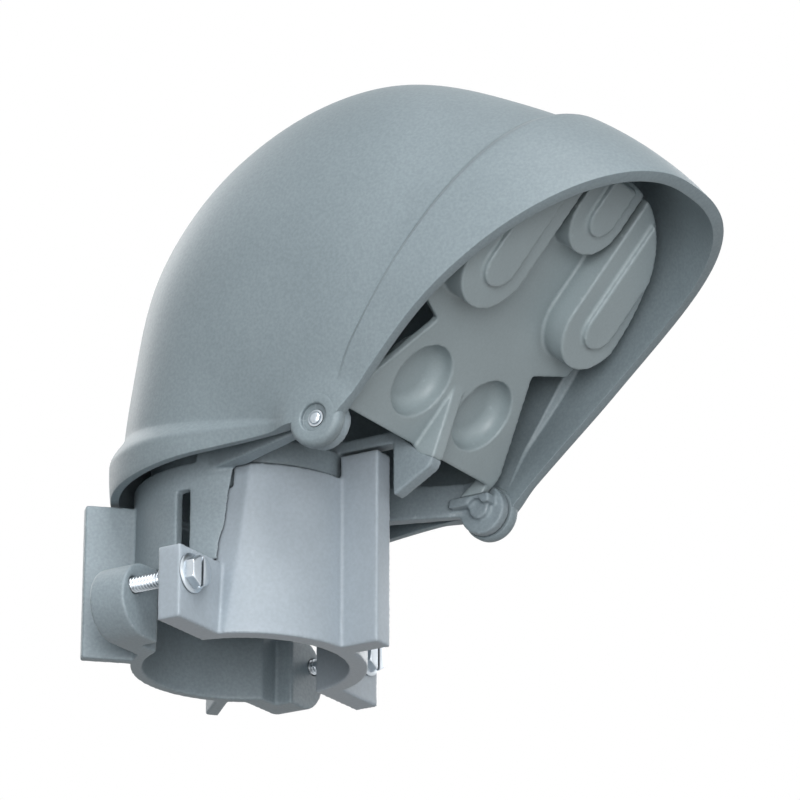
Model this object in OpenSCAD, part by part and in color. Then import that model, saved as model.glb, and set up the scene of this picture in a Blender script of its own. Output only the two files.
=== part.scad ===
// Service entrance weatherhead: clamp-on cap for 2 in conduit.
// Millimetres. +Z runs up the conduit axis, the mouth of the hood faces -Y.
// The origin is the conduit axis at the lower edge of the clamp collar.

/* [Collar] */
// radius of the clamp bore round the conduit
bore_r = 30.5; // [20:0.1:40]
// outer radius of the collar walls
collar_r = 34; // [24:0.1:46]
// height of the clamp collar
collar_h = 46; // [30:0.5:70]
// width of the relief slot in each side of the base
slot_w = 4.5; // [2:0.1:8]
// radius of the wire way above the conduit stop
stop_r = 27; // [18:0.5:34]
// outer radius of the neck inside the hood
neck_r = 29.2; // [20:0.1:36]
// top of the neck inside the hood
neck_top = 64; // [54:0.5:80]

/* [Saddle] */
// outer radius of the raised front of the saddle
pad_r = 36; // [30:0.1:44]
// top of the raised front of the saddle
pad_top = 52; // [40:0.5:60]
// half width of the raised front at its lower edge
pad_low = 33; // [24:0.5:40]
// half width of the raised front at its upper edge
pad_high = 29.6; // [20:0.5:40]
// width of the box rib on the front of the saddle
rib_w = 7.4; // [4:0.1:16]
// front face of the box rib
rib_front = 48; // [38:0.1:54]
// top of the box rib
rib_top = 59; // [40:0.5:60]

/* [Clamp ears and screws] */
// distance of each clamp screw from the conduit axis
screw_x = 47.3; // [40:0.1:60]
// height of the clamp screws
screw_z = 14.3; // [8:0.1:30]
// radius of the clamp screw shank
screw_r = 2.4; // [2:0.05:5]
// radius of the clamp screw head
head_r = 5; // [3:0.1:8]
// height of the clamp screw head
head_h = 4; // [2:0.1:8]
// outer end of the clamp ears
ear_out = 53; // [46:0.5:64]
// height of the clamp ears
ear_h = 22; // [14:0.5:34]

/* [Wings] */
// angle of each rear wing from straight back
wing_angle = 44; // [20:1:80]
// outer radius of the rear wings
wing_r = 49; // [40:0.5:60]
// thickness of the rear wings
wing_t = 4; // [2:0.5:8]
// height of the rear wings
wing_h = 47.2; // [20:1:60]

/* [Hinge] */
// distance of the hinge line in front of the conduit axis
hinge_y = 56; // [40:0.5:70]
// height of the hinge line
hinge_z = 52.4; // [40:0.5:70]
// radius of the rounded ears on the hinge line
lobe_r = 8.4; // [6:0.1:12]
// radius of the hinge pins
pin_r = 2.4; // [1.5:0.05:4]
// radial play between hinge pin and hood
pin_play = 0.05; // [0.01:0.01:0.1]

/* [Hood shape] */
// wall of the hood
wall = 2.4; // [1.5:0.1:5]
// forward distance of the centre of the hood fan
fan_y = 54.2; // [40:0.1:70]
// height of the centre of the hood fan
fan_z = 55.7; // [40:0.1:70]
// angle of the mouth plane
mouth_a = 37.3; // [20:0.5:60]
// angle of the rear lower edge
lip_a = 183; // [160:0.5:200]
// hood radius at the mouth
r_mouth = 115.3; // [90:0.5:140]
// hood radius at the brow behind the brim
r_brow = 110; // [90:0.5:140]
// hood radius at the front of the crown
r_front = 112.6; // [90:0.5:140]
// hood radius over the crown
r_crown = 107; // [90:0.5:140]
// hood radius behind the crown
r_rear = 97.9; // [80:0.5:130]
// hood radius at the nape
r_nape = 87; // [70:0.5:120]
// hood radius at the rear lower edge
r_lip = 87.2; // [70:0.5:120]
// half width of the hood on the hinge line
half_hinge = 49; // [40:0.5:60]
// rise of the brim over the dome
brim_rise = 3; // [0:0.1:8]
// angle of the back edge of the brim
brim_a = 52.8; // [40:0.5:80]
// flare of the rear lower edge
lip_rise = 4; // [0:0.1:8]
// angle covered by the rear flare
lip_span = 9; // [2:0.5:20]

/* [Wire insert] */
// slope of the insert plate
ins_slope = 49; // [30:0.5:70]
// length of the insert plate
ins_len = 99; // [60:0.5:110]
// half width of the insert
ins_half = 42; // [30:0.5:46]
// half width of the plate between its side notches
ins_waist = 27; // [16:0.5:42]
// wall of the insert
ins_t = 2.4; // [1.5:0.1:4]
// radius of the two side bosses
boss_r = 14; // [8:0.5:18]
// radius of the middle boss
mid_r = 12; // [8:0.5:18]
// height of the bosses
boss_h = 8.5; // [3:0.5:16]
// distance of the side bosses from the middle
boss_u = 28.5; // [20:0.1:36]
// height of the raised middle of each boss
step_h = 1.8; // [0.5:0.1:4]
// radius of the lower cups
cup_r = 11.5; // [6:0.1:14]
// distance of the lower cups from the middle
cup_u = 17; // [12:0.1:26]

/* [Hidden] */
$fn = 72;
e = 0.01;
front_y = 12.7;   // front face of the saddle ears
split_y = 5;      // back face of the saddle ears
rear_y = -7;      // front face of the rear ears
tap_y = -19;      // back face of the rear ears
ring_end = 12.6;  // ends of the collar wall between the rear ears
ear_in = 35.2;    // inner side of the rear ears
foot = [60.3, 57.9];
boss_v = 57.7;    // side bosses along the insert
mid_v = 85;       // middle boss along the insert
steps = 36;
half_steps = 18;
radii = [r_mouth, r_brow, r_front, r_crown, r_rear, r_nape, r_lip];

// smooth step and three-point blend
function ease(a, b, x) = let (t = min(1, max(0, (x - a) / (b - a)))) t * t * (3 - 2 * t);
function tri(a, b, c, t) = a * (1 - t) * (1 - 2 * t) + b * 4 * t * (1 - t) + c * t * (2 * t - 1);
// Catmull-Rom through the profile radii
function spline(t) = let (x = min(5.9999, max(0, t * 6)), i = floor(x), u = x - i,
  p1 = radii[i], p2 = radii[i + 1],
  p0 = i > 0 ? radii[i - 1] : 2 * p1 - p2, p3 = i < 5 ? radii[i + 2] : 2 * p2 - p1)
  0.5 * (2 * p1 + (p2 - p0) * u + (2 * p0 - 5 * p1 + 4 * p2 - p3) * u * u + (3 * p1 - p0 - 3 * p2 + p3) * u * u * u);

// a point of the hood: t runs mouth to rear edge, s runs side to crown, k is the side
function hood_pt(t, s, k, inset) = let (
  span = lip_a - mouth_a,
  n = tri(2.59, 2.56, 2.38, t), c = tri(27, 37, 36, t), w = tri(50.4, 53.4, 46.8, t) - inset,
  r = spline(t) - inset, hh = half_hinge - min(inset, wall),
  band = 1 - ease((brim_a - mouth_a) / span - 0.006, (brim_a - mouth_a) / span + 0.012, t),
  flare = ease(1 - lip_span / span - 0.02, 1 - lip_span / span + 0.02, t),
  off = brim_rise * band + lip_rise * flare,
  al = max(0, (s - 0.3) / 0.7) * 90,
  rho0 = s > 0.3 ? c + (r - c) * pow(sin(al), 2 / n) : 3.5 + (c - 3.5) * s / 0.3,
  l0 = s > 0.3 ? w * pow(max(0, cos(al)), 2 / n) : hh + (w - hh) * sin(s / 0.3 * 90),
  g = ease(5, 50, rho0),
  rho = rho0 + off * g * sin(al), l = l0 + off * g * cos(al),
  q = min(1, rho / r),
  wm = pow(max(0, 1 - 4 * t), 2), wl = pow(max(0, 4 * t - 3), 2),
  dm = asin(min(0.9, (9.8 - 6.3 * sin(180 * q)) / rho)),
  dl = asin(min(0.8, 3.4 / rho)),
  th = mouth_a + span * t - wm * dm + wl * dl)
  [k * l, -(fan_y + rho * cos(th)), fan_z + rho * sin(th)];

// the wall is thicker round the mouth
function skin(t) = wall + 1.2 * (1 - ease(0.03, 0.16, t));
function row(t, inset) = concat(
  [for (j = [0 : half_steps]) hood_pt(t, j / half_steps, -1, inset)],
  [for (j = [half_steps - 1 : -1 : 0]) hood_pt(t, j / half_steps, 1, inset)]);

module slab(x0, x1) {
  translate([x0, 0, 0]) rotate([90, 0, 90]) linear_extrude(x1 - x0) children();
}

module wedge_ring(r0, r1, z0, z1) {
  translate([0, 0, z0]) difference() {
    cylinder(r = r1, h = z1 - z0, $fn = 96);
    translate([0, 0, -1]) cylinder(r = r0, h = z1 - z0 + 2, $fn = 96);
  }
}

module hood_shell() {
  m = 2 * half_steps + 1;
  n = steps + 1;
  outer = [for (i = [0 : steps]) each row(i / steps, 0)];
  inner = [for (i = [0 : steps]) each row(i / steps, skin(i / steps))];
  pts = concat(outer, inner);
  o = n * m;
  faces = concat(
    [for (i = [0 : n - 2], j = [0 : m - 2]) each [[i * m + j, i * m + j + 1, (i + 1) * m + j], [i * m + j + 1, (i + 1) * m + j + 1, (i + 1) * m + j]]],
    [for (i = [0 : n - 2], j = [0 : m - 2]) each [[o + i * m + j, o + (i + 1) * m + j, o + i * m + j + 1], [o + i * m + j + 1, o + (i + 1) * m + j, o + (i + 1) * m + j + 1]]],
    [for (j = [0 : m - 2]) each [[j, o + j, j + 1], [j + 1, o + j, o + j + 1]]],
    [for (j = [0 : m - 2]) each [[(n - 1) * m + j, (n - 1) * m + j + 1, o + (n - 1) * m + j], [(n - 1) * m + j + 1, o + (n - 1) * m + j + 1, o + (n - 1) * m + j]]],
    [for (i = [0 : n - 2]) each [[i * m, (i + 1) * m, o + i * m], [(i + 1) * m, o + (i + 1) * m, o + i * m]]],
    [for (i = [0 : n - 2]) each [[i * m + m - 1, o + i * m + m - 1, (i + 1) * m + m - 1], [(i + 1) * m + m - 1, o + i * m + m - 1, o + (i + 1) * m + m - 1]]]);
  polyhedron(points = pts, faces = [for (f = faces) [f[2], f[1], f[0]]], convexity = 6);
}

module hood() {
  color([0.52, 0.57, 0.60]) difference() {
    union() {
      hood_shell();
      for (k = [-1, 1]) translate([k * 48.7, -hinge_y, hinge_z]) rotate([0, 90, 0]) cylinder(r = lobe_r, h = 4.4, center = true);
    }
    translate([-60, -hinge_y, hinge_z]) rotate([0, 90, 0]) cylinder(r = pin_r + pin_play, h = 120);
    for (k = [-1, 1]) translate([k * 50.6, -hinge_y, hinge_z]) rotate([0, 90, 0]) cylinder(r = 4.2, h = 2.4, center = true);
  }
}

// gap in the front of the base for the raised front of the saddle
module pad_room(f, top) {
  edge = function (z) pad_low - (pad_low - pad_high) * z / pad_top + 0.5;
  translate([0, -f, 0]) rotate([90, 0, 0]) linear_extrude(44 - f) polygon([[-edge(-1), -1], [edge(-1), -1], [edge(top), top], [-edge(top), top]]);
}

module base_wall(k) {
  // side wall from the neck out to the hinge ear
  translate([0, 0, 51.2]) linear_extrude(10.6) polygon([[k * 28, -14], [k * 42.3, -50], [k * 42.3, -57], [k * 46, -57], [k * 46, -50], [k * 33.6, -12], [k * 33, -8], [k * 28, -8]]);
  translate([k * 44.15, -hinge_y, hinge_z]) rotate([0, 90, 0]) cylinder(r = 7.6, h = 3.7, center = true);
  // shelf under the side of the wire insert
  translate([k * 40.3 - 2.3, -61, 53]) cube([4.6, 14, 2.9]);
}

module base() {
  color([0.55, 0.60, 0.63]) difference() {
    union() {
      // the neck steps in where it goes up inside the hood
      wedge_ring(stop_r, collar_r, collar_h, 54);
      wedge_ring(stop_r, neck_r, 53, neck_top);
      intersection() {
        wedge_ring(stop_r, collar_r, 53, 60.6);
        translate([-50, -50, 50]) cube([100, 46, 12]);
      }
      difference() {
        wedge_ring(bore_r, collar_r, 0, collar_h + e);
        // below this height the collar is open between the front and rear ears
        translate([-50, -50, -1]) cube([100, 50 - rear_y, ear_h + 2]);
        translate([-50, -slot_w / 2, -1]) cube([100, slot_w, collar_h + 1]);
        pad_room(9.5, collar_h - 0.2);
      }
      for (k = [-1, 1]) {
        base_wall(k);
        // rear clamp ear and its round boss
        translate([k > 0 ? 27 : ear_h / 2 - ear_out, -rear_y, 0]) cube([ear_out - ear_h / 2 - 27, rear_y - tap_y, ear_h]);
        translate([k * (ear_out - ear_h / 2), -tap_y, ear_h / 2]) rotate([90, 0, 0]) cylinder(r = ear_h / 2, h = rear_y - tap_y);
        // rear wing
        rotate([0, 0, 90 - k * wing_angle]) translate([collar_r - 2, -wing_t / 2, 0]) cube([wing_r - collar_r + 2, wing_t, wing_h]);
      }
      // hook over the top of the saddle rib
      slab(-2.6, 2.6) polygon([[-28, rib_top + 1.2], [-28, neck_top], [-53.2, neck_top], [-60, 57.5], [-61.9, 55.5], [-66.4, 53.4], [-65.4, 50.9], [-64, 50.1], [-rib_front - 5.4, 44.2], [-rib_front - 4.6, 44.2], [-rib_front - 4.6, rib_top + 1.2]]);
    }
    translate([0, 0, -1]) cylinder(r = bore_r, h = 53, $fn = 96);
    translate([0, 0, 40]) cylinder(r = stop_r, h = 30, $fn = 96);
    // room for the raised front of the saddle
    pad_room(14, pad_top + 0.6);
    // the rear ears stand forward of the ends of the collar
    translate([-ear_in, -30, -1]) cube([2 * ear_in, 30 + ring_end, ear_h + 2]);
    for (k = [-1, 1]) {
      translate([k * screw_x, 40, screw_z]) rotate([90, 0, 0]) cylinder(r = screw_r + 0.05, h = 60);
    }
    for (k = [-1, 1]) translate([k * 49, -hinge_y, hinge_z]) rotate([0, 90, 0]) cylinder(r = pin_r, h = 22, center = true);
  }
}

module clamp_saddle() {
  color([0.68, 0.72, 0.76]) difference() {
    union() {
      difference() {
        wedge_ring(bore_r, collar_r, 0, ear_h + 0.4);
        translate([-50, -split_y, -1]) cube([100, 60, collar_h + 2]);
      }
      intersection() {
        wedge_ring(bore_r, pad_r, 0, pad_top);
        translate([0, -10, 0]) rotate([90, 0, 0]) linear_extrude(40) polygon([[-pad_low, 0], [pad_low, 0], [pad_high, pad_top], [-pad_high, pad_top]]);
      }
      for (k = [-1, 1]) translate([k > 0 ? 31.5 : -ear_out, -front_y, 0]) cube([ear_out - 31.5, front_y - split_y, ear_h]);
      translate([-rib_w / 2, -rib_front, 0]) cube([rib_w, rib_front - 32, pad_top]);
      translate([-rib_w / 2, -rib_front, 0]) cube([rib_w, rib_front - 35, rib_top]);
    }
    translate([0, 0, -1]) cylinder(r = bore_r, h = 70, $fn = 96);
    // the raised front stops short of the base over the collar
    translate([-50, -14.7, collar_h - 0.6]) cube([100, 30, 20]);
    for (k = [-1, 1]) translate([k * screw_x, 0, screw_z]) rotate([90, 0, 0]) cylinder(r = screw_r + 0.05, h = 20);
  }
}

// outline of the insert in its own plane, drawn in by g
module outline(g = 0) {
  v0 = 52;
  rim = [for (i = [0 : 24]) let (a = min(89.99, i * 90 / 24)) [(ins_half - g) * pow(cos(a), 2 / 2.3), v0 + (ins_len - g - v0) * pow(sin(a), 2 / 2.3)]];
  polygon(concat([[ins_half - g, g]], rim, [for (i = [23 : -1 : 0]) [-rim[i][0], rim[i][1]]], [[-ins_half + g, g]]));
}

// a round-ended boss that runs up to the top edge of the insert
module boss(u, v, r, h, g = 0) {
  linear_extrude(h) intersection() {
    union() {
      translate([u, v]) circle(r = r - g);
      translate([u - r + g, v]) square([2 * (r - g), 60]);
    }
    outline(g);
  }
}

// a round-bottomed cup, sunk by h
module bowl(r, h) {
  translate([0, 0, -h]) rotate_extrude() polygon(concat([[0, 0]], [for (a = [0 : 15 : 90]) [r - 4.6 + 4.6 * sin(a), 4.6 - 4.6 * cos(a)]], [[r, h], [0, h]]));
}

// moves its children to the plane of the insert
module on_insert() {
  translate([0, -foot[0], foot[1]]) rotate([180 - ins_slope, 0, 0]) children();
}

module wire_insert() {
  color([0.46, 0.50, 0.52]) {
    difference() {
      on_insert() {
        difference() {
          translate([0, 0, -ins_t]) linear_extrude(ins_t) outline();
          for (k = [-1, 1]) translate([0, 0, -ins_t - 1]) linear_extrude(ins_t + 2) polygon([[k * 48, -6], [k * 42, 4.5], [k * ins_waist, 35], [k * 48, 42.4]]);
        }
        for (k = [-1, 1]) {
          translate([0, 0, -1]) boss(k * boss_u, boss_v, boss_r, boss_h + 1);
          translate([0, 0, boss_h - 1]) boss(k * (boss_u + 0.2), boss_v + 0.6, 8.3, step_h + 1, 1.5);
          translate([k * cup_u, 17.4, -1]) bowl(cup_r + 1.8, 7.6);
        }
        translate([0, 0, -1]) boss(0, mid_v, mid_r, boss_h + 0.4);
        translate([0, 0, boss_h - 1.6]) boss(0, mid_v + 0.6, 7.4, step_h + 1, 1.5);
      }
      on_insert() {
        for (k = [-1, 1]) {
          translate([k * cup_u, 17.4, 0.6]) bowl(cup_r, 7);
          // the bosses are hollow from behind
          translate([0, 0, -4]) boss(k * boss_u, boss_v, boss_r, boss_h + 4 - ins_t, 2.2);
        }
        translate([0, 0, -4]) boss(0, mid_v, mid_r, boss_h + 4 - ins_t - 0.6, 2.2);
      }
    }
    // web that stands on the hook, and tabs on the side shelves
    slab(-2.6, 2.6) polygon([[-59.2, 59.3], [-60.55, 57.7], [-62.1, 55.9], [-66.7, 53.8], [-74.1, 73.6], [-73.2, 75.4]]);
    for (k = [-1, 1]) slab(k * 40.2 - 1.7, k * 40.2 + 1.7) polygon([[-50.5, 55.9], [-58.5, 55.9], [-60, 58], [-62.6, 61.4], [-61.5, 63.5], [-57, 61.5]]);
  }
}

module clamp_screw(k) {
  color([0.78, 0.80, 0.82]) translate([k * screw_x, -front_y, screw_z]) rotate([90, 0, 0]) {
    translate([0, 0, -33.4]) cylinder(r = screw_r, h = 33.4);
    difference() {
      union() {
        cylinder(r = head_r + 0.9, h = 1.1);
        cylinder(r = head_r, h = head_h, $fn = 6);
      }
      translate([-0.6, -head_r, head_h - 1.1]) cube([1.2, 2 * head_r, 2]);
    }
  }
}

module clamp_screw_left() { clamp_screw(-1); }
module clamp_screw_right() { clamp_screw(1); }

module hinge_pin(k) {
  color([0.80, 0.81, 0.82]) translate([k * 42.3, -hinge_y, hinge_z]) rotate([0, k * 90, 0]) {
    cylinder(r = pin_r, h = 7.2);
    translate([0, 0, 7.1]) cylinder(r = 3.1, h = 1.2);
  }
}

module hinge_pin_left() { hinge_pin(-1); }
module hinge_pin_right() { hinge_pin(1); }

hood();
base();
clamp_saddle();
wire_insert();
clamp_screw_left();
clamp_screw_right();
hinge_pin_left();
hinge_pin_right();
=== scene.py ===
import math
import bpy
import bmesh
from mathutils import Matrix, Vector


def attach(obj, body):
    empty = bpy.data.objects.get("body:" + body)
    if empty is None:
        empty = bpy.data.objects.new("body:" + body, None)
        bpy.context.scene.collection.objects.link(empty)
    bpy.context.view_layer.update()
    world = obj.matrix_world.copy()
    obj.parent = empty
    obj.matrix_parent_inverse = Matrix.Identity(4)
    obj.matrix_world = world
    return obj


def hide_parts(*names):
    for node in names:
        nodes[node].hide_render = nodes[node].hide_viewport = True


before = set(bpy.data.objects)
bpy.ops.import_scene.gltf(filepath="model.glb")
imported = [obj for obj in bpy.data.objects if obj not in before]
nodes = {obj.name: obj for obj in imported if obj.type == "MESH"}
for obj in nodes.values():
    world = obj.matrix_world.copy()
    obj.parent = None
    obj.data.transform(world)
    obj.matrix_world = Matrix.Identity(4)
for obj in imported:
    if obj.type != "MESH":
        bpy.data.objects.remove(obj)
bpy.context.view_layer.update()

sceneRoot = bpy.context.scene
print("frame loaded:", ", ".join(sorted(nodes)))


def ease(low, high, x):
    k = min(1.0, max(0.0, (x - low) / (high - low)))
    return k * k * (3 - 2 * k)


def mix(a, b, k):
    return a + (b - a) * k


def three(a, b, c, t):  # curve through a at 0, b at a half and c at 1
    return a * (1 - t) * (1 - 2 * t) + b * 4 * t * (1 - t) + c * t * (2 * t - 1)


def meshFrom(name, points, faces):  # points in millimetres
    mesh = bpy.data.meshes.new(name)
    mesh.from_pydata([(p[0] / 1000, p[1] / 1000, p[2] / 1000) for p in points], [], faces)
    mesh.update()
    piece = bpy.data.objects.new(name, mesh)
    sceneRoot.collection.objects.link(piece)
    return piece


def bakeModifiers(piece):
    graph = bpy.context.evaluated_depsgraph_get()
    fresh = bpy.data.meshes.new_from_object(piece.evaluated_get(graph))
    old = piece.data
    piece.modifiers.clear()
    piece.data = fresh
    fresh.name = piece.name
    bpy.data.meshes.remove(old)


def fixNormals(piece):
    bm = bmesh.new()
    bm.from_mesh(piece.data)
    bmesh.ops.recalc_face_normals(bm, faces=bm.faces)
    bm.to_mesh(piece.data)
    bm.free()


def smoothShade(piece, degrees=None):
    piece.data.shade_smooth()
    if degrees:
        piece.data.set_sharp_from_angle(angle=math.radians(degrees))


def joinInto(piece, other):
    bm = bmesh.new()
    bm.from_mesh(piece.data)
    bm.from_mesh(other.data)
    bm.to_mesh(piece.data)
    bm.free()
    bpy.data.objects.remove(other)


def ringsAlong(rows, origin, axis, radiusAt, turns, capped=True):
    # rows are heights along the axis; radiusAt gives the radius for a row and an angle
    axis = Vector(axis).normalized()
    side = Vector((0, 0, 1)) if abs(axis.z) < 0.9 else Vector((1, 0, 0))
    side = (side - axis * side.dot(axis)).normalized()
    other = axis.cross(side)
    points, faces = [], []
    for k, height in enumerate(rows):
        centre = Vector(origin) + axis * height
        for i in range(turns):
            a = 2 * math.pi * i / turns
            points.append(centre + (side * math.cos(a) + other * math.sin(a)) * radiusAt(k, height, a))
    for k in range(len(rows) - 1):
        for i in range(turns):
            j = (i + 1) % turns
            faces.append((k * turns + i, k * turns + j, (k + 1) * turns + j, (k + 1) * turns + i))
    if capped:
        last = (len(rows) - 1) * turns
        faces.append(tuple(range(turns - 1, -1, -1)))
        faces.append(tuple(last + i for i in range(turns)))
    return points, faces


def turned(profile, origin, axis, turns, capped=True):  # profile is (radius, height) pairs
    return ringsAlong([height for radius, height in profile], origin, axis,
                      lambda k, height, a: profile[k][0], turns, capped)


def arc(centreRadius, centreHeight, size, start, end, steps):  # (radius, height) pairs round a corner
    angles = [math.radians(start + (end - start) * i / steps) for i in range(steps + 1)]
    return [(centreRadius + size * math.sin(a), centreHeight + size * math.cos(a)) for a in angles]


def srgb(r, g, b):
    def linear(c):
        return c / 255 / 12.92 if c <= 10 else ((c / 255 + 0.055) / 1.055) ** 2.4

    return linear(r), linear(g), linear(b), 1.0


def addNode(tree, kind, **values):
    node = tree.nodes.new(kind)
    for key, value in values.items():
        if key in node.inputs:
            node.inputs[key].default_value = value
        else:
            setattr(node, key, value)
    return node


def rampNode(tree, low, high, lowColour, highColour):
    node = addNode(tree, "ShaderNodeValToRGB")
    first, second = node.color_ramp.elements
    first.position, second.position = low, high
    first.color, second.color = lowColour, highColour
    return node


def multiplied(tree, first, second):
    node = addNode(tree, "ShaderNodeMix", data_type="RGBA", blend_type="MULTIPLY")
    node.inputs[0].default_value = 1.0
    tree.links.new(first, node.inputs[6])
    tree.links.new(second, node.inputs[7])
    return node.outputs[2]


skin = {  # where each pattern starts and stops showing, from 0 to 1; corner is the painted shade from the occlusion mask
    "cloud": (0.32, 0.68), "dots": (0.34, 0.68), "corner": (0.25, 0.8), "edge": (0.545, 0.65),
    "roughLess": 0.07, "roughMore": 0.09, "peel": 0.6,
}


def castFinish(name, look):
    material = bpy.data.materials.new(name)
    material.use_nodes = True
    tree = material.node_tree
    link = tree.links.new
    shader = tree.nodes["Principled BSDF"]
    shader.inputs["Metallic"].default_value = look["metal"]
    shader.inputs["Specular IOR Level"].default_value = look["gloss"]
    place = addNode(tree, "ShaderNodeTexCoord").outputs["Object"]

    cloud = addNode(tree, "ShaderNodeTexNoise", Scale=look["cloudScale"], Detail=3)
    link(place, cloud.inputs["Vector"])
    grain = addNode(tree, "ShaderNodeTexNoise", Scale=look["grainScale"], Detail=2)
    link(place, grain.inputs["Vector"])
    speck = addNode(tree, "ShaderNodeTexVoronoi", Scale=look["grainScale"] * 0.5)
    link(place, speck.inputs["Vector"])

    tone = rampNode(tree, *skin["cloud"], srgb(*look["shade"]), srgb(*look["light"]))
    link(cloud.outputs["Fac"], tone.inputs["Fac"])

    # salt and pepper of the skin
    fleck = look["fleck"]
    dots = rampNode(tree, *skin["dots"], (1 - fleck,) * 3 + (1,), (1 + fleck,) * 3 + (1,))
    link(grain.outputs["Fac"], dots.inputs["Fac"])
    colour = multiplied(tree, tone.outputs["Color"], dots.outputs["Color"])

    # painted shade: the colour is darkened in corners and hollows through an ambient occlusion mask
    corner = addNode(tree, "ShaderNodeAmbientOcclusion", samples=8, Distance=look["cornerShadeReach"])
    cornerShade = rampNode(tree, *skin["corner"], (look["cornerShade"],) * 3 + (1,), (1, 1, 1, 1))
    link(corner.outputs["AO"], cornerShade.inputs["Fac"])
    colour = multiplied(tree, colour, cornerShade.outputs["Color"])

    # and edges rub bright
    edge = addNode(tree, "ShaderNodeNewGeometry")
    rub = addNode(tree, "ShaderNodeMapRange")
    rub.inputs["From Min"].default_value, rub.inputs["From Max"].default_value = skin["edge"]
    rub.inputs["To Max"].default_value = look["rub"]
    link(edge.outputs["Pointiness"], rub.inputs["Value"])
    worn = addNode(tree, "ShaderNodeMix", data_type="RGBA")
    link(rub.outputs["Result"], worn.inputs[0])
    link(colour, worn.inputs[6])
    worn.inputs[7].default_value = srgb(*look["worn"])
    link(worn.outputs[2], shader.inputs["Base Color"])

    rough = addNode(tree, "ShaderNodeMapRange")
    rough.inputs["To Min"].default_value = look["rough"] - skin["roughLess"]
    rough.inputs["To Max"].default_value = look["rough"] + skin["roughMore"]
    link(cloud.outputs["Fac"], rough.inputs["Value"])
    link(rough.outputs["Result"], shader.inputs["Roughness"])

    # orange peel over fine grit
    height = addNode(tree, "ShaderNodeMath", operation="MULTIPLY_ADD")
    link(speck.outputs["Distance"], height.inputs[0])
    height.inputs[1].default_value = skin["peel"]
    link(grain.outputs["Fac"], height.inputs[2])
    bump = addNode(tree, "ShaderNodeBump", Strength=look["bump"], Distance=look["bumpDepth"])
    link(height.outputs["Value"], bump.inputs["Height"])
    link(bump.outputs["Normal"], shader.inputs["Normal"])
    return material


# colours are sRGB; the fleck, corner and rub numbers set how strong the spots, the painted shade in corners and
# the edge wear are
hoodFinish = castFinish("grey_cast_hood", {
    "shade": (125, 138, 144), "light": (135, 148, 154), "worn": (172, 183, 190),
    "metal": 0.0, "gloss": 0.5, "rough": 0.5, "cloudScale": 22, "grainScale": 1100,
    "fleck": 0.07, "cornerShade": 0.62, "cornerShadeReach": 0.006, "rub": 0.25, "bump": 0.3, "bumpDepth": 0.00012,
})
baseFinish = castFinish("grey_cast_base", {
    "shade": (136, 149, 156), "light": (147, 160, 167), "worn": (184, 194, 201),
    "metal": 0.0, "gloss": 0.5, "rough": 0.5, "cloudScale": 26, "grainScale": 1100,
    "fleck": 0.07, "cornerShade": 0.5, "cornerShadeReach": 0.006, "rub": 0.4, "bump": 0.3, "bumpDepth": 0.00012,
})
saddleFinish = castFinish("pale_cast_saddle", {
    "shade": (160, 171, 180), "light": (171, 182, 191), "worn": (206, 214, 221),
    "metal": 0.0, "gloss": 0.5, "rough": 0.42, "cloudScale": 30, "grainScale": 900,
    "fleck": 0.04, "cornerShade": 0.55, "cornerShadeReach": 0.005, "rub": 0.1, "bump": 0.16, "bumpDepth": 0.00012,
})
insertFinish = castFinish("grey_moulded_insert", {
    "shade": (151, 164, 168), "light": (161, 174, 178), "worn": (184, 195, 199),
    "metal": 0.0, "gloss": 0.5, "rough": 0.4, "cloudScale": 24, "grainScale": 1300,
    "fleck": 0.03, "cornerShade": 0.5, "cornerShadeReach": 0.008, "rub": 0.3, "bump": 0.08, "bumpDepth": 0.0001,
})
zincFinish = castFinish("bright_zinc", {
    "shade": (186, 196, 204), "light": (214, 221, 227), "worn": (240, 244, 247),
    "metal": 1.0, "gloss": 0.5, "rough": 0.3, "cloudScale": 60, "grainScale": 1600,
    "fleck": 0.03, "cornerShade": 0.35, "cornerShadeReach": 0.002, "rub": 0.4, "bump": 0.06, "bumpDepth": 0.00005,
})
print("finishes made")


hoodShape = {
    "fanCentre": (-54.2, 55.7), "hinge": (-56.0, 52.4),  # y and z
    "radii": (115.2, 109.9, 112.5, 106.9, 97.8, 86.9, 87.1),   # crown radius from mouth to rear lip
    "mouthAngle": 37.3, "lipAngle": 183,
    "square": (2.59, 2.56, 2.38), "straight": (27, 37, 36), "halfWidth": (50.1, 53.1, 46.5),
    "hingeHalf": 49,
    "brimAngle": 52.8, "brimRise": 3, "lipSpan": 9, "lipRise": 4,
    "rimDrop": 9.8, "rimBow": 6.3, "lipDrop": 3.4,
    "wall": 2.4, "rimWall": 3.6, "edgeRound": 0.9,
    "brimSoft": (0.007, 0.013), "lipSoft": 0.02,  # how far the steps spread, as a share of the sweep
    "hingeShare": 0.3, "hingeStart": 5.4, "hingeFlat": 3.5,  # the flat part of each row, round the hinge
    # distances from the pin over which the side changes
    "riseReach": (5, 50), "toPin": (6, 22), "earSwell": (8.6, 17),
    "rows": 104, "halfColumns": 66, "rimThick": (0.03, 0.16),
    # extra rows begin this far before a step and spread over this much of the sweep
    "brimRows": (0.012, 0.028), "lipRows": (0.024, 0.048), "closestRows": 0.0026,
    "earFace": 50.9, "earInner": 46.4, "earRadius": 8.4, "earRound": 1.7,
    "pinHole": 2.5, "pinSeat": 4.2, "seatFloor": 49.4,
}


def hoodRadius(t):
    radii = hoodShape["radii"]
    x = min(5.9999, max(0.0, t * 6))
    i = int(x)
    u = x - i
    p1, p2 = radii[i], radii[i + 1]
    p0 = radii[i - 1] if i > 0 else 2 * p1 - p2
    p3 = radii[i + 2] if i < 5 else 2 * p2 - p1
    # a smooth curve through all seven radii
    slope = p2 - p0
    bend = 2 * p0 - 5 * p1 + 4 * p2 - p3
    twist = 3 * p1 - p0 - 3 * p2 + p3
    return 0.5 * (2 * p1 + slope * u + bend * u * u + twist * u ** 3)


def angleOf(sine):  # in degrees, and never quite a right angle
    return math.degrees(math.asin(min(0.98, max(-0.98, sine))))


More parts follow.
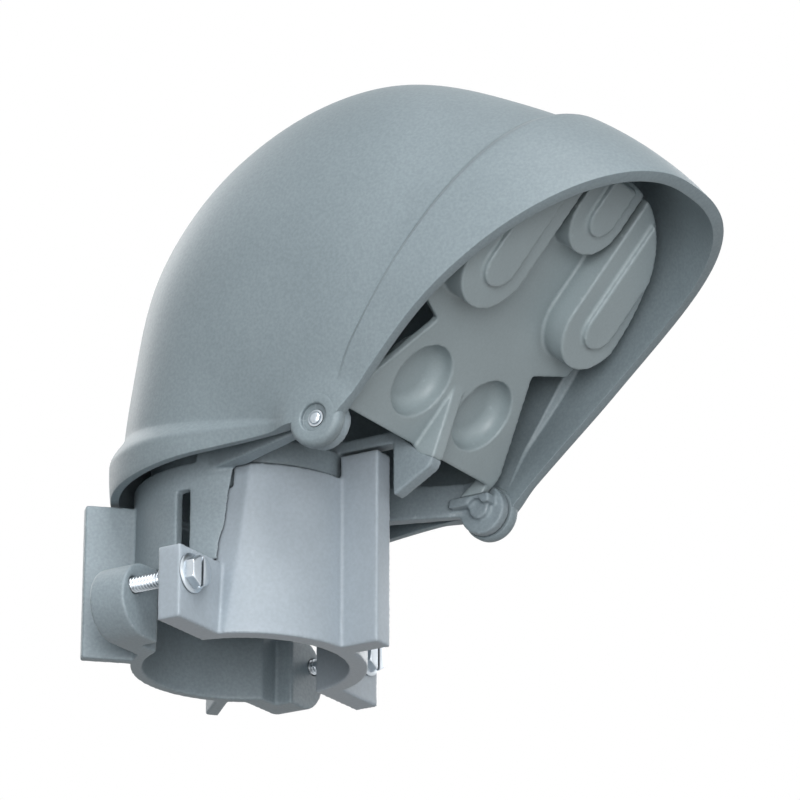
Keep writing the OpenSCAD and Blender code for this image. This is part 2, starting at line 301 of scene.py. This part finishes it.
def hoodPoint(t, s, side, inset):
    # t runs from the mouth to the rear lip, s from the hinge ear to the crown
    h = hoodShape
    span = h["lipAngle"] - h["mouthAngle"]
    square = three(*h["square"], t)
    straight = three(*h["straight"], t)
    half = three(*h["halfWidth"], t) - inset
    radius = hoodRadius(t) - inset
    brimEnd = (h["brimAngle"] - h["mouthAngle"]) / span
    band = 1 - ease(brimEnd - h["brimSoft"][0], brimEnd + h["brimSoft"][1], t)
    flareStart = 1 - h["lipSpan"] / span
    flare = ease(flareStart - h["lipSoft"], flareStart + h["lipSoft"], t)
    rise = h["brimRise"] * band + h["lipRise"] * flare
    hingeHalf = h["hingeHalf"] - min(inset, h["wall"])
    share, start = h["hingeShare"], h["hingeStart"]
    if s > share:
        a = (s - share) / (1 - share) * math.pi / 2
        rho = straight + (radius - straight) * math.sin(a) ** (2 / square)
        width = half * max(0.0, math.cos(a)) ** (2 / square)
    else:
        a = 0.0
        rho = start + (straight - start) * s / share
        flat = h["hingeFlat"]
        grown = math.sin(max(0.0, rho - flat) / (straight - flat) * math.pi / 2)
        width = hingeHalf + (half - hingeHalf) * grown
    reach = ease(*h["riseReach"], rho)
    rho += rise * reach * math.sin(a)
    width += rise * reach * math.cos(a)
    q = min(1.0, rho / radius)
    # round the hinge the fan is centred on the pin
    toPin = 1 - ease(*h["toPin"], rho)
    cy = mix(h["fanCentre"][0], h["hinge"][0], toPin)
    cz = mix(h["fanCentre"][1], h["hinge"][1], toPin)
    offY, offZ = -(cy - h["fanCentre"][0]), cz - h["fanCentre"][1]
    mouth, lip = math.radians(h["mouthAngle"]), math.radians(h["lipAngle"])
    drop = h["rimDrop"] - h["rimBow"] * math.sin(math.pi * q)
    # the rim runs into the ear in a fillet
    away = offY * math.sin(mouth) - offZ * math.cos(mouth)
    atMouth = angleOf((drop - away) / rho)
    awayLip = -offY * math.sin(lip) + offZ * math.cos(lip)
    atLip = angleOf((h["lipDrop"] - awayLip) / rho)
    nearMouth = max(0.0, 1 - 4 * t) ** 2
    nearLip = max(0.0, 4 * t - 3) ** 2
    angle = math.radians(h["mouthAngle"] + span * t - nearMouth * atMouth + nearLip * atLip)
    y = cy - rho * math.cos(angle)
    z = cz + rho * math.sin(angle)
    if inset < 0.01:
        # the side swells out to meet the ear, so no disc edge shows
        fromPin = math.hypot(y - h["hinge"][0], z - h["hinge"][1])
        width = mix(width, max(width, h["earFace"] - 0.05), 1 - ease(*h["earSwell"], fromPin))
    return (side * width, y, z)


def hoodRowPlaces():
    h = hoodShape
    span = h["lipAngle"] - h["mouthAngle"]
    brimEnd = (h["brimAngle"] - h["mouthAngle"]) / span
    flareStart = 1 - h["lipSpan"] / span
    places = [i / h["rows"] for i in range(h["rows"] + 1)]
    for step, (before, spread) in ((brimEnd, h["brimRows"]), (flareStart, h["lipRows"])):
        places += [step - before + spread * i / 9 for i in range(10)]
    places.sort()
    kept = [places[0]]
    for place in places[1:]:
        if place - kept[-1] > h["closestRows"]:
            kept.append(place)
    kept[-1] = 1.0
    return kept


def makeHood():
    h = hoodShape
    half = h["halfColumns"]
    places = hoodRowPlaces()
    columns = [(j / half, -1) for j in range(half + 1)] + [(j / half, 1) for j in range(half - 1, -1, -1)]
    m, n = len(columns), len(places)
    points = []
    for layer in (0, 1):
        for t in places:
            thick = h["wall"] + (h["rimWall"] - h["wall"]) * (1 - ease(*h["rimThick"], t))
            inset = 0 if layer == 0 else thick
            points += [hoodPoint(t, s, side, inset) for s, side in columns]
    skin = n * m
    faces = []
    for i in range(n - 1):
        for j in range(m - 1):
            a, b, c, d = i * m + j, i * m + j + 1, (i + 1) * m + j + 1, (i + 1) * m + j
            faces.append((a, b, c, d))
            faces.append((skin + d, skin + c, skin + b, skin + a))
    for j in range(m - 1):
        faces.append((j + 1, j, skin + j, skin + j + 1))
        k = (n - 1) * m + j
        faces.append((k, k + 1, skin + k + 1, skin + k))
    for i in range(n - 1):
        a, b = i * m, (i + 1) * m
        faces.append((a, b, skin + b, skin + a))
        a, b = a + m - 1, b + m - 1
        faces.append((b, a, skin + a, skin + b))
    shell = meshFrom("hood_shell", points, faces)
    fixNormals(shell)
    bevel = shell.modifiers.new("rim edges", "BEVEL")
    bevel.width = h["edgeRound"] / 1000
    bevel.segments = 3
    bevel.limit_method = "ANGLE"
    bevel.angle_limit = math.radians(50)
    bevel.use_clamp_overlap = True
    bakeModifiers(shell)

    # hinge ears, turned round the pin line with a sunk seat for the pin head
    inner, face, r, e = h["earInner"], h["earFace"], h["earRadius"], h["earRound"]
    hole, seat, floor, lead = h["pinHole"], h["pinSeat"], h["seatFloor"], 0.5
    profile = [(hole, inner), (hole, floor - 0.2), (hole + 0.3, floor), (seat - 0.2, floor), (seat, floor + 0.2)]
    profile += [(seat, face - lead)] + arc(seat + lead, face - lead, lead, -60, 0, 2)
    profile += arc(r - e, face - e, e, 0, 90, 6)
    profile += [(r, inner + 0.6), (r - 0.5, inner), (hole, inner)]
    for side in (-1, 1):
        points, faces = turned(profile, (0, *h["hinge"]), (side, 0, 0), 72, capped=False)
        ear = meshFrom("hinge_ear", points, faces)
        fixNormals(ear)
        joinInto(shell, ear)
    smoothShade(shell, 40)
    shell.data.materials.append(hoodFinish)
    return shell


hoodPiece = makeHood()
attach(hoodPiece, "hood")
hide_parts("hood")
print("hood:", len(hoodPiece.data.polygons), "faces")


baseCast = {
    "voxel": 0.42, "passes": 10, "soften": 0.5, "mostFaces": 186000,
    "lugFrom": 40.3, "lugPlug": 3.2, "plugRadius": 3.4,  # round boss that closes the inner end of each pin hole
}
saddleCast = {"voxel": 0.44, "passes": 8, "soften": 0.5, "mostFaces": 198000}
insertMould = {
    "voxel": 0.42, "passes": 8, "soften": 0.5, "mostFaces": 186000,
    # y and z of the foot that seats on the hook of the base
    "footHalf": 2.5,
    "foot": ((-58.8, 59.2), (-59.9, 57.1), (-61.5, 55.2), (-66.1, 53.2), (-66.7, 53.8),
             (-67.0, 54.8), (-62.7, 56.8), (-61.1, 58.8), (-60.0, 60.4)),
}


castTilt = {"X": 0.61, "Y": 0.47, "Z": 0.35}  # radians


def prismAcross(name, half, outline):  # a plate between -half and +half in x
    count = len(outline)
    points = [(x, y, z) for x in (-half, half) for y, z in outline]
    faces = [tuple(range(count)), tuple(range(2 * count - 1, count - 1, -1))]
    faces += [(i, (i + 1) % count, count + (i + 1) % count, count + i) for i in range(count)]
    piece = meshFrom(name, points, faces)
    fixNormals(piece)
    return piece


def makeCast(nodeName, pieceName, cast, extras=()):
    # a copy of the solid with every edge rounded and every corner filleted, as casting does
    piece = bpy.data.objects.new(pieceName, nodes[nodeName].data.copy())
    piece.data.materials.clear()
    sceneRoot.collection.objects.link(piece)
    bm = bmesh.new()
    bm.from_mesh(piece.data)
    bmesh.ops.remove_doubles(bm, verts=bm.verts, dist=1e-6)
    bm.to_mesh(piece.data)
    bm.free()
    for extra in extras:
        joinInto(piece, extra)
    # tilted while it is remeshed, so that no long edge lies along the voxel grid
    tilt = Matrix.Identity(4)
    for axis, turn in castTilt.items():
        tilt = tilt @ Matrix.Rotation(turn, 4, axis)
    piece.data.transform(tilt)
    remesh = piece.modifiers.new("skin", "REMESH")
    remesh.mode = "VOXEL"
    remesh.voxel_size = cast["voxel"] / 1000 * 1
    remesh.adaptivity = 0.0
    soft = piece.modifiers.new("soften", "SMOOTH")
    soft.factor = cast["soften"]
    soft.iterations = cast["passes"]
    bakeModifiers(piece)
    triangles = 2 * len(piece.data.polygons)
    if triangles > cast["mostFaces"]:
        fewer = piece.modifiers.new("fewer", "DECIMATE")
        fewer.ratio = cast["mostFaces"] / triangles
        settle = piece.modifiers.new("settle", "SMOOTH")
        settle.factor = 0.5
        settle.iterations = 3
        bakeModifiers(piece)
    piece.data.transform(tilt.inverted())
    for v in piece.data.vertices:
        v.co.z = max(0.0, v.co.z)
    smoothShade(piece)
    print(pieceName + ":", len(piece.data.polygons), "faces")
    return piece


def dress(piece, finish, body, nodeName):
    piece.data.materials.append(finish)
    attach(piece, body)
    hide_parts(nodeName)


plugs = []
for side in (-1, 1):
    profile = [(baseCast["plugRadius"], 0), (baseCast["plugRadius"], baseCast["lugPlug"])]
    points, faces = turned(profile, (side * baseCast["lugFrom"], *hoodShape["hinge"]), (side, 0, 0), 32)
    plug = meshFrom("lug_plug", points, faces)
    fixNormals(plug)
    plugs.append(plug)
basePiece = makeCast("base", "base_casting", baseCast, plugs)
dress(basePiece, baseFinish, "base", "base")
saddlePiece = makeCast("clamp_saddle", "saddle_casting", saddleCast)
dress(saddlePiece, saddleFinish, "saddle", "clamp_saddle")
foot = prismAcross("insert_foot", insertMould["footHalf"], insertMould["foot"])
insertPiece = makeCast("wire_insert", "insert_moulding", insertMould, [foot])
dress(insertPiece, insertFinish, "base", "wire_insert")


clampScrew = {
    "away": 47.3, "seat": -12.7, "height": 14.3,             # x, y and z of the seat under the head
    "crest": 2.4, "root": 1.88, "pitch": 1.058, "reach": 33.4, "point": 1.2,
    "flangeRadius": 5.9, "flangeThick": 1.1,
    "hexAcross": 8.66, "hexHigh": 4.0, "chamfer": 0.55, "cornerWear": 0.14,
    "slotWide": 1.2, "slotDeep": 1.1, "slotLong": 13,
    "rowsPerTurn": 9, "threadTurns": 24,
}


def slotTool(origin):  # a block as wide as the driver slot, standing across the head
    s = clampScrew
    x, z, half, reach = origin[0], origin[2], s["slotWide"] / 2, s["slotLong"] / 2
    top = origin[1] - s["hexHigh"]
    outline = [(top - 2, -reach), (top + s["slotDeep"], -reach), (top + s["slotDeep"], reach), (top - 2, reach)]
    points = [(x + i * half, y, z + up) for i in (-1, 1) for y, up in outline]
    faces = [(0, 1, 2, 3), (7, 6, 5, 4)] + [(i, (i + 1) % 4, 4 + (i + 1) % 4, 4 + i) for i in range(4)]
    tool = meshFrom("slot_tool", points, faces)
    fixNormals(tool)
    return tool


def makeScrew(name, side):
    s = clampScrew
    origin, axis = (side * s["away"], s["seat"], s["height"]), (0, -1, 0)
    count = int(s["reach"] / s["pitch"] * s["rowsPerTurn"])

    def threadRadius(k, height, a):  # flat crests, narrow roots and a turned-down point
        swing = abs(((height / s["pitch"] - a / (2 * math.pi)) % 1.0) * 2 - 1)
        radius = s["root"] + (s["crest"] - s["root"]) * min(1.0, max(0.0, swing * 1.25 - 0.1))
        ending = height + s["reach"]
        return min(radius, s["root"] - 0.5 + ending) if ending < s["point"] else radius

    rows = [-s["reach"] + (s["reach"] + 0.2) * i / count for i in range(count + 1)]
    points, faces = ringsAlong(rows, origin, axis, threadRadius, s["threadTurns"])
    screw = meshFrom(name, points, faces)
    smoothShade(screw, 50)

    # rolled flange, then the hexagon with its corners turned off
    f, t = s["flangeRadius"], s["flangeThick"]
    flange = [(f - 0.35, 0.0), (f - 0.1, 0.12), (f, 0.35), (f - 0.08, 0.6), (f - 0.35, 0.8), (f - 1.3, t)]
    skirt = meshFrom("screw_flange", *turned(flange, origin, axis, 60))
    smoothShade(skirt, 35)
    across, high, cut = s["hexAcross"] / 2, s["hexHigh"], s["chamfer"]
    corner = across / math.cos(math.pi / 6)
    cone, levels = [corner, corner, corner - 0.02], [0.2, t + 0.3, high - cut]
    for i in range(6):
        cone.append(corner - 0.1 - (corner - across + 0.35) * i / 5)
        levels.append(high - cut + cut * math.sin((i + 1) * math.pi / 12))

    def hexRadius(k, height, a):
        turn = a % (math.pi / 3) - math.pi / 6
        return min(across / math.cos(turn), cone[k])

    points, faces = ringsAlong(levels, origin, axis, hexRadius, 72)
    head = meshFrom("screw_hexagon", points, faces)
    fixNormals(head)
    tool = slotTool(origin)
    slot = head.modifiers.new("driver slot", "BOOLEAN")
    slot.object = tool
    slot.operation = "DIFFERENCE"
    slot.solver = "EXACT"
    bevel = head.modifiers.new("worn corners", "BEVEL")
    bevel.width = s["cornerWear"] / 1000
    bevel.segments = 2
    bevel.limit_method = "ANGLE"
    bevel.angle_limit = math.radians(40)
    bakeModifiers(head)
    bpy.data.objects.remove(tool)
    smoothShade(head, 30)
    joinInto(screw, skirt)
    joinInto(screw, head)
    return screw


for side, word in ((-1, "left"), (1, "right")):
    screw = makeScrew("screw_" + word, side)
    dress(screw, zincFinish, "screw_" + word, "clamp_screw_" + word)
print("clamp screws made")


hingePin = {
    "inner": 43.6, "headFrom": 49.42, "shank": 2.4, "flange": 2.5, "dome": 1.9, "domeHigh": 1.1,
}


def makePin(name, side):
    p = hingePin
    shank, flange, dome, start = p["shank"], p["flange"], p["dome"], p["headFrom"]
    profile = [(shank - 0.35, p["inner"]), (shank - 0.12, p["inner"] + 0.1), (shank, p["inner"] + 0.35)]
    profile += [(shank, start), (flange - 0.1, start + 0.02), (flange, start + 0.1)]
    profile += [(flange - 0.15, start + 0.16), (dome + 0.12, start + 0.18)]
    for i in range(9):
        a = i * math.pi / 16
        profile.append((max(0.12, dome * math.cos(a)), start + 0.18 + (p["domeHigh"] - 0.1) * math.sin(a)))
    points, faces = turned(profile, (0, *hoodShape["hinge"]), (side, 0, 0), 40)
    pin = meshFrom(name, points, faces)
    fixNormals(pin)
    smoothShade(pin, 40)
    return pin


for side, word in ((-1, "left"), (1, "right")):
    pin = makePin("pin_" + word, side)
    dress(pin, zincFinish, "base", "hinge_pin_" + word)
print("hinge pins made")


studio = {
    # where the camera looks, in degrees round from +X and up, and its millimetres back, right and up
    "turn": 31.8, "lift": 20.8, "distance": 1238, "right": 45.5, "up": 79.5, "lens": 189,
    "floorHeight": -0.55, "floorSize": 4, "floorTone": 0.5, "floorGlow": 0.6, "floorBounce": 0.2,
    "worldLight": 0.14, "worldTint": (0.93, 0.97, 1.0),
    "aim": (0, -0.05, 0.08), "lampTint": (1.0, 1.0, 1.0),
    # degrees round from +X, degrees up, metres away, side of the box, watts
    "lamps": {
        "key": (216, -8, 1.5, 0.8, 12.5),
        "side": (195, -8, 1.5, 0.8, 3.8),
        "front": (262, -6, 1.5, 0.8, 2.5),
        "high": (226, 38, 1.5, 0.8, 10),
        "top": (220, 62, 1.5, 0.8, 5),
        "backRight": (-5, 22, 1.5, 0.8, 8),
        "backLeft": (78, 30, 1.5, 0.8, 8),
    },
}


def whenSeen(tree, seen, unseen):
    # seen in camera, gloss and glass rays, unseen in the light that falls on the part
    path = addNode(tree, "ShaderNodeLightPath")
    most = addNode(tree, "ShaderNodeMath", operation="MAXIMUM")
    tree.links.new(path.outputs["Is Camera Ray"], most.inputs[0])
    tree.links.new(path.outputs["Is Glossy Ray"], most.inputs[1])
    more = addNode(tree, "ShaderNodeMath", operation="MAXIMUM")
    tree.links.new(most.outputs["Value"], more.inputs[0])
    tree.links.new(path.outputs["Is Transmission Ray"], more.inputs[1])
    blendNode = addNode(tree, "ShaderNodeMixShader")
    tree.links.new(more.outputs["Value"], blendNode.inputs[0])
    tree.links.new(unseen.outputs[0], blendNode.inputs[1])
    tree.links.new(seen.outputs[0], blendNode.inputs[2])
    return blendNode


def makeStudio():
    world = bpy.data.worlds.new("studio")
    sceneRoot.world = world
    world.use_nodes = True
    tree = world.node_tree
    tree.nodes.clear()
    white = addNode(tree, "ShaderNodeBackground", Color=(1, 1, 1, 1), Strength=1.0)
    soft = addNode(tree, "ShaderNodeBackground", Color=(*studio["worldTint"], 1))
    soft.inputs["Strength"].default_value = studio["worldLight"]
    out = addNode(tree, "ShaderNodeOutputWorld")
    tree.links.new(whenSeen(tree, white, soft).outputs[0], out.inputs["Surface"])

    bm = bmesh.new()
    bmesh.ops.create_grid(bm, x_segments=24, y_segments=24, size=studio["floorSize"])
    mesh = bpy.data.meshes.new("floor")
    bm.to_mesh(mesh)
    bm.free()
    floor = bpy.data.objects.new("floor", mesh)
    sceneRoot.collection.objects.link(floor)
    floor.location.z = studio["floorHeight"]
    paper = bpy.data.materials.new("pale_floor")
    paper.use_nodes = True
    tree = paper.node_tree
    pale = tree.nodes["Principled BSDF"]
    pale.inputs["Base Color"].default_value = (studio["floorTone"],) * 3 + (1,)
    pale.inputs["Roughness"].default_value = 0.9
    pale.inputs["Emission Color"].default_value = (1, 1, 1, 1)
    pale.inputs["Emission Strength"].default_value = studio["floorGlow"]
    dim = addNode(tree, "ShaderNodeBsdfDiffuse", Color=(studio["floorBounce"],) * 3 + (1,))
    # seen from underneath, the floor is clear
    side = addNode(tree, "ShaderNodeNewGeometry")
    clear = addNode(tree, "ShaderNodeBsdfTransparent")
    oneSided = addNode(tree, "ShaderNodeMixShader")
    tree.links.new(side.outputs["Backfacing"], oneSided.inputs[0])
    tree.links.new(whenSeen(tree, pale, dim).outputs[0], oneSided.inputs[1])
    tree.links.new(clear.outputs[0], oneSided.inputs[2])
    tree.links.new(oneSided.outputs[0], tree.nodes["Material Output"].inputs["Surface"])
    mesh.materials.append(paper)

    aim = Vector(studio["aim"])
    for name, (round_, lift, distance, size, watts) in studio["lamps"].items():
        data = bpy.data.lights.new(name, "AREA")
        data.shape = "SQUARE"
        data.size = size
        data.energy = watts
        data.color = studio["lampTint"]
        lamp = bpy.data.objects.new(name, data)
        sceneRoot.collection.objects.link(lamp)
        a, b = math.radians(round_), math.radians(lift)
        away = Vector((math.cos(a) * math.cos(b), math.sin(a) * math.cos(b), math.sin(b)))
        lamp.location = aim + away * distance
        lamp.rotation_euler = (-away).to_track_quat("-Z", "Y").to_euler()
        lamp.visible_camera = False

    t, e = math.radians(studio["turn"]), math.radians(studio["lift"])
    right = Vector((math.sin(t), -math.cos(t), 0))
    ahead = Vector((math.cos(t) * math.cos(e), math.sin(t) * math.cos(e), math.sin(e)))
    up = right.cross(ahead)
    data = bpy.data.cameras.new("camera")
    data.lens = studio["lens"]
    data.sensor_width = 36
    data.clip_start = 0.05
    camera = bpy.data.objects.new("camera", data)
    sceneRoot.collection.objects.link(camera)
    spot = (right * studio["right"] + up * studio["up"] - ahead * studio["distance"]) / 1000
    turn = Matrix((right, up, -ahead)).transposed().to_4x4()
    camera.matrix_world = Matrix.Translation(spot) @ turn
    sceneRoot.camera = camera
    sceneRoot.view_settings.view_transform = "Standard"


makeStudio()
print("studio ready")
